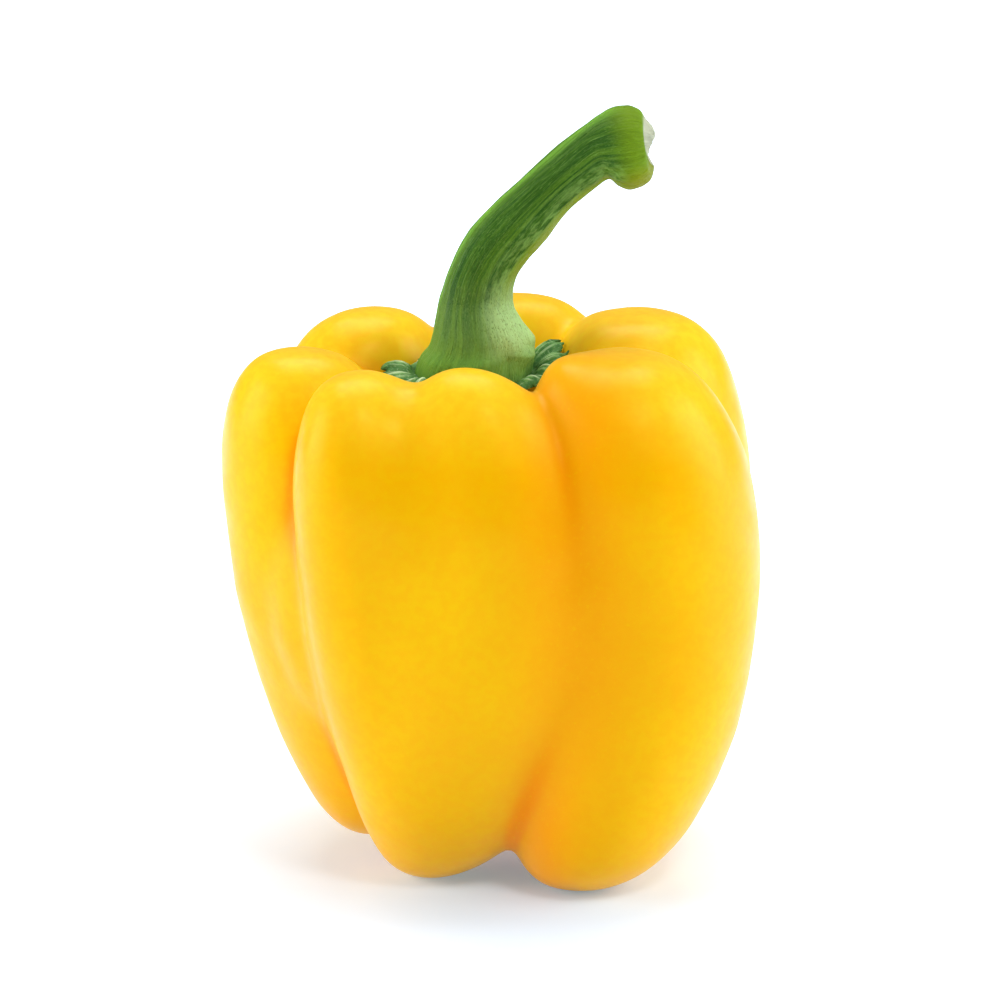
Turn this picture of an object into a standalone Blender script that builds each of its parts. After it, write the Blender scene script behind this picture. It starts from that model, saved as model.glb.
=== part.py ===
"""A yellow bell pepper, as picked, standing upright on its lobes.

Three pieces: the fruit, the calyx that lies in the hollow of its crown, and the cut stem.
Metres, +Z up. The origin is the bottom centre of the whole pepper's box.
"""
import math
from collections import namedtuple

import bmesh
import bpy
import numpy as np
from mathutils import Vector
from mathutils.bvhtree import BVHTree

# The gap that touching pieces keep between them
GAP = 0.0004

# The fruit grows as a ring of lobes. Each lobe is a rounded column on a centre line that runs from its
# foot, past its belly at mid height, to its shoulder. Points are x, y, z; a belly needs x and y alone.
# breadth and depth are the half widths across and along the fruit's radius, flare widens a lobe
# towards its shoulder, and crown and sole say how square its top and its foot are (2 is round).
# A foot a little below zero is cut flat where it stands.
Lobe = namedtuple("Lobe", "foot belly shoulder breadth depth flare crown sole")
FRONT_LEFT = Lobe(foot=(-0.0090, -0.0130, 0.0060), belly=(-0.0140, -0.0190),
                  shoulder=(-0.0192, -0.0205, 0.0800), breadth=0.0118, depth=0.0146,
                  flare=0.03, crown=2.6, sole=2.3)
FRONT = Lobe(foot=(-0.0090, -0.0145, -0.0005), belly=(-0.0006, -0.0207),
             shoulder=(-0.0034, -0.0218, 0.0809), breadth=0.0184, depth=0.0144,
             flare=0.00, crown=2.15, sole=2.2)
FRONT_RIGHT = Lobe(foot=(0.0138, -0.0182, -0.0006), belly=(0.0220, -0.0152),
                   shoulder=(0.0192, -0.0148, 0.0818), breadth=0.0189, depth=0.0182,
                   flare=0.04, crown=2.75, sole=2.7)
BACK_RIGHT = Lobe(foot=(0.0182, 0.0100, -0.0006), belly=(0.0234, 0.0090),
                  shoulder=(0.0226, 0.0090, 0.0827), breadth=0.0172, depth=0.0167,
                  flare=0.05, crown=3.0, sole=2.6)
BACK = Lobe(foot=(0.0030, 0.0165, -0.0006), belly=(0.0045, 0.0225),
            shoulder=(0.0046, 0.0208, 0.0830), breadth=0.0195, depth=0.0140,
            flare=0.00, crown=2.6, sole=2.6)
BACK_LEFT = Lobe(foot=(-0.0090, 0.0120, -0.0006), belly=(-0.0160, 0.0175),
                 shoulder=(-0.0186, 0.0146, 0.0818), breadth=0.0186, depth=0.0150,
                 flare=0.04, crown=2.6, sole=2.6)
LEFT = Lobe(foot=(-0.0212, -0.0020, 0.0140), belly=(-0.0246, -0.0030),
            shoulder=(-0.0284, -0.0040, 0.0798), breadth=0.0140, depth=0.0148,
            flare=0.05, crown=2.6, sole=2.2)
LEFT_FOOT = Lobe(foot=(-0.0180, -0.0010, 0.0020), belly=(-0.0218, -0.0010),
                 shoulder=(-0.0222, -0.0010, 0.0600), breadth=0.0140, depth=0.0115,
                 flare=0.04, crown=2.6, sole=2.6)
LEFT_FLANK = Lobe(foot=(-0.0190, -0.0110, 0.0240), belly=(-0.0200, -0.0110),
                  shoulder=(-0.0205, -0.0115, 0.0620), breadth=0.0080, depth=0.0124,
                  flare=0.00, crown=2.2, sole=2.2)
# Lobes that grew as one are merged softly before they meet the others
CLUSTERS = ((FRONT_LEFT, FRONT), (FRONT_RIGHT,), (BACK_RIGHT,), (BACK,), (BACK_LEFT,),
            (LEFT, LEFT_FOOT), (LEFT_FLANK,))
SWAY_LIMIT = 1.15          # a lobe's centre line stops bending this far past its half height

# The flesh between the lobes, which fills the creases at mid height and sets the floor of the crown
CORE_CENTRE = (0.001, 0.0)
CORE_RADIUS = 0.032
CORE_LOW = 0.007
CORE_HIGH = 0.073
CORE_ROUNDNESS = 2.2

# How sharply two lobes meet: soft at mid height, a deep crease at the shoulders and the feet. The
# lobes of one cluster meet more softly, and part only close to their ends.
CREASE_SOFT = 10.0
CREASE_AT_SHOULDERS = 34.0
CREASE_AT_FEET = 32.0
CREASE_MID_HEIGHT = 0.042
CREASE_REACH = 0.038
CLUSTER_SOFT = 8.0
CLUSTER_AT_ENDS = 22.0
CLUSTER_HOLD = 10          # the higher, the closer to their ends they part

# Rays from a point inside the fruit find its skin
HEART = (0.002, 0.0, 0.036)
OUTSIDE = 0.075
RAY_STEP = 0.001
HALVINGS = 14
FRUIT_SEGMENTS = 84
FRUIT_RINGS = 44
POLE_CROWDING = 0.22       # draws the rings towards the crown and the base, where the form turns fastest

# The calyx: a plate under the stem that breaks into pleated sepals round its edge
CALYX_CENTRE = (-0.0022, 0.0006)
SEAT_RADIUS = 0.0095
SEAT_HEIGHT = 0.0747
PLATE_THICKNESS = 0.0012
SEPAL_THICKNESS = 0.0009
WEB_REACH = 0.0103         # how far the sepals stay joined
NOTCH = 0.20               # how far a sepal's outline falls back at its half width
LIFT_CURVE = 0.7           # under 1, a sepal rises from the seat at once and then levels out
ROLL_CURVE = 0.6           # under 1, its crest is highest nearer the seat than its tip
ROLL_FULLNESS = 0.7
SEAT_RINGS = 2
SEPAL_RINGS = 5
CALYX_SEGMENTS = 96
GROUND_MARGIN = 0.0007     # the sepals clear the highest point of the fruit this close to them
GROUND_SAMPLES = 8
ABOVE = 0.1

# Each sepal's bearing round the stem and half width in degrees, its reach from the stem's axis, the
# height of its rolled crest, and how far its tip stands above the seat
Sepal = namedtuple("Sepal", "bearing half_width reach crest lift")
SEPALS = (
    Sepal(27, 13, 0.0146, 0.0008, 0.0026),
    Sepal(7, 11, 0.0144, 0.0012, 0.0022),
    Sepal(-14, 11, 0.0122, 0.0013, 0.0022),
    Sepal(-38, 14, 0.0134, 0.0010, 0.0016),
    Sepal(-68, 17, 0.0114, 0.0006, 0.0004),
    Sepal(-102, 18, 0.0106, 0.0006, 0.0002),
    Sepal(-137, 17, 0.0122, 0.0008, 0.0004),
    Sepal(-162, 13, 0.0150, 0.0012, 0.0013),
    Sepal(173, 12, 0.0134, 0.0012, 0.0013),
    Sepal(146, 14, 0.0110, 0.0006, 0.0003),
    Sepal(98, 20, 0.0110, 0.0006, 0.0002),
    Sepal(58, 17, 0.0124, 0.0008, 0.0010),
)

# The stem: pairs of points on its outer and inner edge, x and z, from its flared base to the cut knob
STEM_FOOT = SEAT_HEIGHT + GAP
STEM_EDGES = (
    ((-0.0110, STEM_FOOT), (0.0063, STEM_FOOT + 0.0002)),
    ((-0.0101, 0.0771), (0.0067, 0.0775)),
    ((-0.0090, 0.0788), (0.0063, 0.0790)),
    ((-0.0083, 0.0809), (0.0060, 0.0806)),
    ((-0.0079, 0.0830), (0.0049, 0.0828)),
    ((-0.0074, 0.0856), (0.0038, 0.0850)),
    ((-0.0069, 0.0872), (0.0036, 0.0869)),
    ((-0.0061, 0.0902), (0.0041, 0.0893)),
    ((-0.0045, 0.0938), (0.0055, 0.0918)),
    ((-0.0028, 0.0966), (0.0071, 0.0938)),
    ((-0.0008, 0.0991), (0.0087, 0.0956)),
    ((0.0015, 0.1014), (0.0102, 0.0976)),
    ((0.0050, 0.1044), (0.0121, 0.1000)),
    ((0.0084, 0.1075), (0.0143, 0.1020)),
    ((0.0114, 0.1103), (0.0163, 0.1034)),
    ((0.0141, 0.1126), (0.0181, 0.1045)),
    ((0.0164, 0.1143), (0.0194, 0.1036)),
    ((0.0186, 0.1154), (0.0210, 0.1030)),
    ((0.0209, 0.1156), (0.0229, 0.1035)),
    ((0.0226, 0.1149), (0.0243, 0.1047)),
    ((0.0234, 0.1137), (0.0248, 0.1064)),
)
STEM_BREADTH = 0.92        # its thickness across the bend, as a share of its width in it
STEM_RIBS = 5
STEM_RIB_HEIGHT = 0.05     # as a share of the radius, at mid length
BASE_RIBS = 7
BASE_RIB_HEIGHT = 0.04
BASE_RIB_RUN = 0.28        # the share of the stem's length over which the base ribs fade
CUT_DISH = 0.0008
STEM_SEGMENTS = 28
STEM_RINGS = 32
CUT_RINGS = 3

MERGE = 0.00001            # what is closer than this is one
SHARP = math.radians(50)   # an edge that turns more than this is shaded as an edge

# Colours as linear red, green and blue, with each surface's roughness
YELLOW = ((0.95, 0.56, 0.005), 0.28)
DARK_GREEN = ((0.035, 0.15, 0.045), 0.55)
GREEN = ((0.09, 0.26, 0.025), 0.5)


def clear_scene():
    """Start from an empty scene."""
    for item in list(bpy.data.objects):
        bpy.data.objects.remove(item, do_unlink=True)


def surface(name, finish):
    """A plain material with one colour and one roughness."""
    colour, roughness = finish
    material = bpy.data.materials.new(name)
    material.use_nodes = True
    shader = material.node_tree.nodes["Principled BSDF"]
    shader.inputs["Base Color"].default_value = (*colour, 1.0)
    shader.inputs["Roughness"].default_value = roughness
    shader.inputs["Metallic"].default_value = 0.0
    return material


def smooth_object(name, shape, place, material):
    """Turn a finished shape, in world coordinates, into an object with its origin at the place given."""
    bmesh.ops.triangulate(shape, faces=shape.faces)
    bmesh.ops.translate(shape, verts=shape.verts, vec=-Vector(place))
    bmesh.ops.recalc_face_normals(shape, faces=shape.faces)
    mesh = bpy.data.meshes.new(name)
    shape.to_mesh(mesh)
    shape.free()
    mesh.shade_smooth()
    mesh.set_sharp_from_angle(angle=SHARP)
    mesh.materials.append(material)
    item = bpy.data.objects.new(name, mesh)
    item.location = place
    bpy.context.collection.objects.link(item)
    return item


def turned_body(profile, segments):
    """Spin a profile of radius and height, which starts and ends on the axis, into a closed body."""
    shape = bmesh.new()
    corners = [shape.verts.new((radius, 0.0, height)) for radius, height in profile]
    edges = [shape.edges.new(pair) for pair in zip(corners, corners[1:])]
    bmesh.ops.spin(shape, geom=corners + edges, axis=(0, 0, 1), cent=(0, 0, 0),
                   steps=segments, angle=math.tau)
    bmesh.ops.remove_doubles(shape, verts=shape.verts, dist=MERGE)
    return shape


def cylinder_places(shape):
    """Each corner's radius, turn about Z and height."""
    corners = np.array([corner.co for corner in shape.verts])
    return np.hypot(corners[:, 0], corners[:, 1]), np.arctan2(corners[:, 1], corners[:, 0]), corners[:, 2]


def move_corners(shape, x, y, z):
    """Put each corner of the shape at its new place."""
    for corner, place in zip(shape.verts, zip(x, y, z)):
        corner.co = place


def lobe_reach(points, lobe):
    """How far out each point lies in a lobe: 1 on its skin, less inside."""
    middle = (lobe.foot[2] + lobe.shoulder[2]) / 2
    half = (lobe.shoulder[2] - lobe.foot[2]) / 2
    climb = (points[..., 2] - middle) / half
    along = np.clip(climb, -SWAY_LIMIT, SWAY_LIMIT)
    offset = []
    for axis in (0, 1):
        lean = (lobe.shoulder[axis] - lobe.foot[axis]) / 2
        bow = (lobe.shoulder[axis] + lobe.foot[axis]) / 2 - lobe.belly[axis]
        offset.append(points[..., axis] - lobe.belly[axis] - lean * along - bow * along ** 2)
    outward = np.array(lobe.belly) / math.hypot(*lobe.belly)
    out = offset[0] * outward[0] + offset[1] * outward[1]
    across = offset[1] * outward[0] - offset[0] * outward[1]
    width = 1 + lobe.flare * along
    spread = np.hypot(out / (lobe.depth * width), across / (lobe.breadth * width))
    squareness = np.where(climb > 0, lobe.crown, lobe.sole)
    return (spread ** squareness + np.abs(climb) ** squareness) ** (1 / squareness)


def core_reach(points):
    """The same measure for the flesh between the lobes."""
    climb = (points[..., 2] - (CORE_LOW + CORE_HIGH) / 2) / ((CORE_HIGH - CORE_LOW) / 2)
    spread = np.hypot(points[..., 0] - CORE_CENTRE[0], points[..., 1] - CORE_CENTRE[1]) / CORE_RADIUS
    return (spread ** CORE_ROUNDNESS + np.abs(climb) ** CORE_ROUNDNESS) ** (1 / CORE_ROUNDNESS)


def flesh(points):
    """Above zero inside the fruit: the lobes and the core, run smoothly together."""
    climb = np.clip((points[..., 2] - CREASE_MID_HEIGHT) / CREASE_REACH, -1, 1)
    sharpest = np.where(climb > 0, CREASE_AT_SHOULDERS, CREASE_AT_FEET)
    sharpness = CREASE_SOFT + (sharpest - CREASE_SOFT) * climb ** 2
    total = np.exp(sharpness * (1 - core_reach(points)))
    softness = CLUSTER_SOFT + (CLUSTER_AT_ENDS - CLUSTER_SOFT) * climb ** CLUSTER_HOLD
    for cluster in CLUSTERS:
        merged = sum(np.exp(softness * (1 - lobe_reach(points, lobe))) for lobe in cluster)
        total = total + merged ** (sharpness / softness)
    return np.log(total) / sharpness


def skin_distance(start, directions):
    """Where rays from inside the fruit cross its skin, coming in from outside and then halving."""
    near = np.full(len(directions), OUTSIDE)
    searching = np.ones(len(directions), bool)
    while searching.any():
        near = np.where(searching, near - RAY_STEP, near)
        searching = searching & (flesh(start + directions * near[:, None]) < 0)
    far = near + RAY_STEP
    for _ in range(HALVINGS):
        middle = (near + far) / 2
        inside = flesh(start + directions * middle[:, None]) > 0
        near = np.where(inside, middle, near)
        far = np.where(inside, far, middle)
    return (near + far) / 2


def make_fruit():
    """A ball whose every point is moved out to the skin; the lobes' feet are flat where they stand."""
    shape = bmesh.new()
    bmesh.ops.create_uvsphere(shape, u_segments=FRUIT_SEGMENTS, v_segments=FRUIT_RINGS, radius=1.0)
    radius, turn, height = cylinder_places(shape)
    slant = np.arctan2(radius, height)
    slant = slant - POLE_CROWDING * np.sin(2 * slant)
    directions = np.stack([np.sin(slant) * np.cos(turn), np.sin(slant) * np.sin(turn), np.cos(slant)], -1)
    heart = np.array(HEART)
    skin = heart + directions * skin_distance(heart, directions)[:, None]
    move_corners(shape, skin[:, 0], skin[:, 1], np.maximum(skin[:, 2], 0.0))
    return smooth_object("fruit", shape, (0.0, 0.0, 0.0), surface("yellow skin", YELLOW))


def crown_height(fruit, x, y):
    """The height of the fruit's upper side at each point of the plan, the highest within a margin."""
    corners = [corner.co for corner in fruit.data.vertices]
    tree = BVHTree.FromPolygons(corners, [face.vertices for face in fruit.data.polygons])
    ring = [(0.0, 0.0)]
    for turn in np.arange(GROUND_SAMPLES) * math.tau / GROUND_SAMPLES:
        ring.append((GROUND_MARGIN * math.cos(turn), GROUND_MARGIN * math.sin(turn)))
    highest = []
    for east, north in zip(x, y):
        hits = [tree.ray_cast((east + a, north + b, ABOVE), (0, 0, -1))[0] for a, b in ring]
        highest.append(max(hit.z for hit in hits))
    return np.array(highest)


def sepal_edge(bearings):
    """The calyx's reach, the height of its rolled crests and the lift of its tips at each bearing."""
    reach = np.full(len(bearings), WEB_REACH)
    crest = np.zeros(len(bearings))
    lift = np.zeros(len(bearings))
    weight = np.zeros(len(bearings))
    for sepal in SEPALS:
        off = ((bearings - sepal.bearing + 180) % 360 - 180) / sepal.half_width
        reach = np.maximum(reach, sepal.reach * (1 - NOTCH * off ** 2))
        crest = crest + sepal.crest * np.clip(1 - off ** 2, 0, 1)
        near = np.exp(-2 * off ** 2)
        lift = lift + near * sepal.lift
        weight = weight + near
    return reach, crest, lift / weight


def make_calyx(fruit):
    """A turned disc whose points are moved to the sepals' outline and settled over the crown.

    The disc's radius is 1 at the rim of the seat and 2 at the tips of the sepals.
    """
    steps = [ring / SEAT_RINGS for ring in range(SEAT_RINGS)]
    steps += [1 + ring / SEPAL_RINGS for ring in range(SEPAL_RINGS + 1)]
    profile = [(step, -1.0) for step in steps] + [(step, 1.0) for step in reversed(steps)]
    shape = turned_body(profile, CALYX_SEGMENTS)
    step, turn, side = cylinder_places(shape)
    reach, crest, lift = sepal_edge(np.degrees(turn))
    out = np.clip(step - 1, 0, 1)
    radius = SEAT_RADIUS * np.minimum(step, 1) + (reach - SEAT_RADIUS) * out
    x = CALYX_CENTRE[0] + radius * np.cos(turn)
    y = CALYX_CENTRE[1] + radius * np.sin(turn)
    level = SEAT_HEIGHT - PLATE_THICKNESS + lift * out ** LIFT_CURVE
    under = np.maximum(level, crown_height(fruit, x, y) + GAP)
    roll = crest * np.sin(math.pi * out ** ROLL_CURVE) ** ROLL_FULLNESS
    over = under + PLATE_THICKNESS + (SEPAL_THICKNESS - PLATE_THICKNESS) * out + roll
    over = np.where(out > MERGE, over, SEAT_HEIGHT)
    move_corners(shape, x, y, np.where(side < 0, under, over))
    return smooth_object("calyx", shape, (*CALYX_CENTRE, SEAT_HEIGHT), surface("calyx green", DARK_GREEN))


def stem_edges(share):
    """The stem's two edges at shares of its length, on smooth curves through the pairs given."""
    edges = np.array(STEM_EDGES)
    last = len(edges) - 1
    place = share * last
    first = np.minimum(place.astype(int), last - 1)
    rest = (place - first)[:, None, None]
    before, start = edges[np.maximum(first - 1, 0)], edges[first]
    end, after = edges[first + 1], edges[np.minimum(first + 2, last)]
    return 0.5 * (2 * start + (end - before) * rest
                  + (2 * before - 5 * start + 4 * end - after) * rest ** 2
                  + (3 * start - before - 3 * end + after) * rest ** 3)


def make_stem():
    """A turned rod laid between the stem's edges, ribbed along its length and dished at the cut."""
    base = [(ring / CUT_RINGS, 0.0) for ring in range(CUT_RINGS)]
    side = [(1.0, ring / STEM_RINGS) for ring in range(STEM_RINGS + 1)]
    cut = [(ring / CUT_RINGS, 1.0) for ring in reversed(range(CUT_RINGS))]
    shape = turned_body(base + side + cut, STEM_SEGMENTS)
    spread, turn, share = cylinder_places(shape)
    edges = stem_edges(share)
    middle = edges.mean(axis=1)
    half = (edges[:, 1] - edges[:, 0]) / 2
    width = np.hypot(half[:, 0], half[:, 1])
    at_base = np.clip(1 - share / BASE_RIB_RUN, 0, 1)
    ribs = (1 + STEM_RIB_HEIGHT * (1 - at_base) * np.sin(math.pi * share) * np.sin(STEM_RIBS * turn)
            + BASE_RIB_HEIGHT * at_base * np.sin(BASE_RIBS * turn))
    reach = spread * ribs
    dish = np.where(share == 1, CUT_DISH * (1 - spread ** 2), 0.0)
    x = middle[:, 0] + half[:, 0] * np.cos(turn) * reach - dish
    y = CALYX_CENTRE[1] + width * STEM_BREADTH * np.sin(turn) * reach
    z = middle[:, 1] + half[:, 1] * np.cos(turn) * reach
    move_corners(shape, x, y, z)
    return smooth_object("stem", shape, (*CALYX_CENTRE, STEM_FOOT), surface("stem green", GREEN))


def stand_on_origin(pieces):
    """Parent the pieces to one empty and move it so that their box's bottom centre is the origin."""
    bpy.context.view_layer.update()
    corners = np.array([piece.matrix_world @ corner.co for piece in pieces for corner in piece.data.vertices])
    low, high = corners.min(axis=0), corners.max(axis=0)
    pepper = bpy.data.objects.new("bell_pepper", None)
    bpy.context.collection.objects.link(pepper)
    for piece in pieces:
        piece.parent = pepper
    pepper.location = (-(low[0] + high[0]) / 2, -(low[1] + high[1]) / 2, -low[2])


def main():
    clear_scene()
    fruit = make_fruit()
    stand_on_origin([fruit, make_calyx(fruit), make_stem()])


main()
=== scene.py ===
"""The looks of a yellow bell pepper that stands on its lobes: skin, calyx, stem and a plain studio.

It is laid out as a Blender add-on: every piece has an operator, and sizes and colours are scene settings.
"""

import math
from collections import namedtuple

import bpy
import numpy as np
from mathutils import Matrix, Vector, noise
from mathutils.bvhtree import BVHTree


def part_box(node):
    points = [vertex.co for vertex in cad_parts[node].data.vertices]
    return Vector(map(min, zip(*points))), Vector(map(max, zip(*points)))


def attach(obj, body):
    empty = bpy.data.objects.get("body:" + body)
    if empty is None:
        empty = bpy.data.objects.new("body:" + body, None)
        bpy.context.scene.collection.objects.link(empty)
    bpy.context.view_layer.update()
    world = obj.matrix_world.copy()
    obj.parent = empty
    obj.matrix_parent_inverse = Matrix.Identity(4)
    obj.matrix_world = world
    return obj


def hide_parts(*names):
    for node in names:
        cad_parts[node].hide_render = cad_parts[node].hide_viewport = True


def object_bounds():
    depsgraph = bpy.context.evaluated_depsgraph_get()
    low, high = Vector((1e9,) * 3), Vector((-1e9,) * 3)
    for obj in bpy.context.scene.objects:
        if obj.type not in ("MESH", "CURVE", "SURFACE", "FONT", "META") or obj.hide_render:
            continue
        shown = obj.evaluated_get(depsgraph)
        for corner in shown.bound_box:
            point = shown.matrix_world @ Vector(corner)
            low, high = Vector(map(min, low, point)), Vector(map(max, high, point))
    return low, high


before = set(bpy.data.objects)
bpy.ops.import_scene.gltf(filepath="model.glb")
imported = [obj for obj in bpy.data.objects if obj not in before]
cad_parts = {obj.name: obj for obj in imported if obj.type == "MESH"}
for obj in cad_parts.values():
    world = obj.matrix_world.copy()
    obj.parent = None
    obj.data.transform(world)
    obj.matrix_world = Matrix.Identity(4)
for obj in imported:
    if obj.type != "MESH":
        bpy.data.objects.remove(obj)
CAD_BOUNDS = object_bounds()

bl_info = {
    "name": "Bell Pepper",
    "version": (1, 0, 0),
    "blender": (4, 5, 0),
    "location": "View3D > Sidebar > Bell Pepper",
    "description": "Makes a bell pepper with its calyx and stem, and a plain studio round it",
    "category": "Add Mesh",
}

# The fruit grows as a ring of lobes. Each lobe is a rounded column on a centre line that runs from its
# foot, past its belly at mid height, to its shoulder. breadth and depth are the half widths across and
# along the fruit's radius, flare widens a lobe towards its shoulder, and crown and sole say how square
# its top and its foot are (2 is round). Metres.
Lobe = namedtuple("Lobe", "foot belly shoulder breadth depth flare crown sole")
FRONT_LEFT = Lobe(foot=(-0.0090, -0.0130, 0.0060), belly=(-0.0140, -0.0190),
                  shoulder=(-0.0192, -0.0205, 0.0800), breadth=0.0118, depth=0.0146,
                  flare=0.03, crown=2.6, sole=2.3)
FRONT = Lobe(foot=(-0.0090, -0.0145, -0.0005), belly=(-0.0006, -0.0207),
             shoulder=(-0.0034, -0.0218, 0.0809), breadth=0.0184, depth=0.0144,
             flare=0.00, crown=2.15, sole=2.2)
FRONT_RIGHT = Lobe(foot=(0.0138, -0.0182, -0.0006), belly=(0.0220, -0.0152),
                   shoulder=(0.0192, -0.0148, 0.0818), breadth=0.0189, depth=0.0182,
                   flare=0.04, crown=2.75, sole=2.7)
BACK_RIGHT = Lobe(foot=(0.0182, 0.0100, -0.0006), belly=(0.0234, 0.0090),
                  shoulder=(0.0226, 0.0090, 0.0827), breadth=0.0172, depth=0.0167,
                  flare=0.05, crown=3.0, sole=2.6)
BACK = Lobe(foot=(0.0030, 0.0165, -0.0006), belly=(0.0045, 0.0225),
            shoulder=(0.0046, 0.0208, 0.0830), breadth=0.0195, depth=0.0140,
            flare=0.00, crown=2.6, sole=2.6)
BACK_LEFT = Lobe(foot=(-0.0090, 0.0120, -0.0006), belly=(-0.0160, 0.0175),
                 shoulder=(-0.0186, 0.0146, 0.0818), breadth=0.0186, depth=0.0150,
                 flare=0.04, crown=2.6, sole=2.6)
LEFT = Lobe(foot=(-0.0212, -0.0020, 0.0140), belly=(-0.0246, -0.0030),
            shoulder=(-0.0284, -0.0040, 0.0798), breadth=0.0140, depth=0.0148,
            flare=0.05, crown=2.6, sole=2.2)
LEFT_FOOT = Lobe(foot=(-0.0180, -0.0010, 0.0020), belly=(-0.0218, -0.0010),
                 shoulder=(-0.0222, -0.0010, 0.0600), breadth=0.0140, depth=0.0115,
                 flare=0.04, crown=2.6, sole=2.6)
LEFT_FLANK = Lobe(foot=(-0.0190, -0.0110, 0.0240), belly=(-0.0200, -0.0110),
                  shoulder=(-0.0205, -0.0115, 0.0620), breadth=0.0080, depth=0.0124,
                  flare=0.00, crown=2.2, sole=2.2)
# Lobes that grew as one are merged softly before they meet the others
CLUSTERS = ((FRONT_LEFT, FRONT), (FRONT_RIGHT,), (BACK_RIGHT,), (BACK,), (BACK_LEFT,),
            (LEFT, LEFT_FOOT), (LEFT_FLANK,))
SWAY_LIMIT = 1.15          # a lobe's centre line stops bending this far past its half height

# The flesh between the lobes, which fills the creases at mid height and sets the floor of the crown
CORE_CENTRE = (0.001, 0.0)
CORE_RADIUS = 0.032
CORE_LOW = 0.007
CORE_HIGH = 0.073
CORE_ROUNDNESS = 2.2

# How sharply two lobes meet: soft at mid height, a deep crease at the shoulders and the feet. The
# lobes of one cluster meet more softly, and part only close to their ends.
CREASE_SOFT = 10.0
CREASE_AT_SHOULDERS = 34.0
CREASE_AT_FEET = 32.0
CREASE_MID_HEIGHT = 0.042
CREASE_REACH = 0.038
CLUSTER_SOFT = 8.0
CLUSTER_AT_ENDS = 22.0
CLUSTER_HOLD = 10          # the higher, the closer to their ends they part

# Rays from a point inside the fruit find its skin
HEART = (0.002, 0.0, 0.036)
OUTSIDE = 0.075
RAY_STEP = 0.001
HALVINGS = 14
ROUGH_SEGMENTS = 192
ROUGH_RINGS = 120
SLOPE_STEP = 0.00005       # how far apart the skin's slope is measured
SETTLE_ROUNDS = 3
EVENING_ROUNDS = 2         # how often the settled mesh is evened out
SKIN_FOLD = math.radians(80)       # a sharper fold than this in the skin is shaded as an edge
HOLLOW_ROUNDS = 160        # how often the skin is smoothed to tell its creases from its open sides
CREASE_SHALLOW = 0.0001    # how far inside its smoothed shape the skin starts to turn orange, partly its own colour and partly painted shade and bounce light
CREASE_DEEP = 0.0016       # and where it is wholly orange
CREASE_IN_CROWN = (0.066, 0.080)   # the orange fades between these heights
CROWN_FADE = 0.75                  # by this share
CROWN_HEIGHTS = (0.066, 0.082)     # painted light pales the skin towards the tops of the lobes between these heights
# the share of painted top light on the tops of the lobes
CROWN_PAINTED_LIGHT = 0.75

# The width of the skin's soft dents and of the smaller pits in them
DENT_SIZE = 0.016
PIT_SIZE = 0.006

# Where the skin is fuller than its lobes make it: the middle and the reach of each filled hollow and the
# share of its depth that is filled, and the middle, the reach and the push of each swelling
Fill = namedtuple("Fill", "place reach share")
FILLS = (
    Fill((-0.0100, -0.0330, 0.0430), (0.0100, 0.0120, 0.0260), 1.0),
    Fill((0.0090, -0.0260, 0.0640), (0.0060, 0.0100, 0.0120), 0.3),
)
FILL_BIAS = 0.0004         # a filled place stands out by this much more
Swelling = namedtuple("Swelling", "place reach push")
SWELLINGS = (
    Swelling((0.0100, -0.0200, 0.0795), (0.0042, 0.0080, 0.0060), (-0.0010, 0.0000, 0.0014)),
)

# Where the skin is deeper orange, partly riper skin and partly painted shade on flanks that the lobes beside
# them shade: the middle of each patch, how far it reaches along X, Y and Z, and how strong it is
BlushAndShade = namedtuple("BlushAndShade", "place reach strength")
BLUSHES_AND_SHADE = (
    BlushAndShade((0.0125, -0.0280, 0.0500), (0.0090, 0.0200, 0.0420), 0.75),
    BlushAndShade((0.0080, -0.0270, 0.0100), (0.0050, 0.0120, 0.0180), 0.90),
    BlushAndShade((0.0145, -0.0250, 0.0740), (0.0080, 0.0100, 0.0110), 0.60),
    BlushAndShade((-0.0215, -0.0190, 0.0500), (0.0050, 0.0080, 0.0300), 0.25),
)

# The calyx: a plate under the stem that breaks into pleated sepals round its edge
CALYX_CENTRE = (-0.0022, 0.0006)
SEAT_RADIUS = 0.0095
SEAT_HEIGHT = 0.0747
PLATE_THICKNESS = 0.0012
SEPAL_THICKNESS = 0.0006
LEAF_CLEARANCE = 0.00015   # from the skin
WEB_REACH = 0.0103         # how far the sepals stay joined
NOTCH = 0.08               # how far a sepal's outline falls back at its half width
LIFT_CURVE = 0.7           # under 1, a sepal rises from the seat at once and then levels out
ROLL_CURVE = 0.6           # under 1, its crest is highest nearer the seat than its tip
ROLL_FULLNESS = 0.7
PLEAT_WAVES = 2            # pleats on each half of a sepal
PLEAT_CURVE = 0.8          # under 1, they are highest nearer the seat than the tip
SEPAL_BLEND = 2.0          # the higher, the faster a tip's height gives way to its neighbour's
LEAF_SEGMENTS = 480
LEAF_SEAT_RINGS = 4
LEAF_RINGS = 34
LEAF_MARGIN = 0.0004       # the sepals clear the highest point of the fruit this close to them
GROUND_SAMPLES = 6
ABOVE = 0.1
EDGE_ROUNDNESS = 7.0
SEAT_OVERLAP = 0.0003      # how far the stem's foot sinks into the seat
RIM_WAVE = 0.07            # the sepals' outline waves, with smaller teeth, as shares of its radius
RIM_TOOTH = 0.025
RIM_TOOTH_SHARE = 0.7
RIPPLE_SIZE = 0.0030       # the sepals ripple, and their upper side is rough
RIPPLE_HEIGHT = 0.0002
ROUGH_SIZE = 0.0007
ROUGH_HEIGHT = 0.00008

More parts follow.
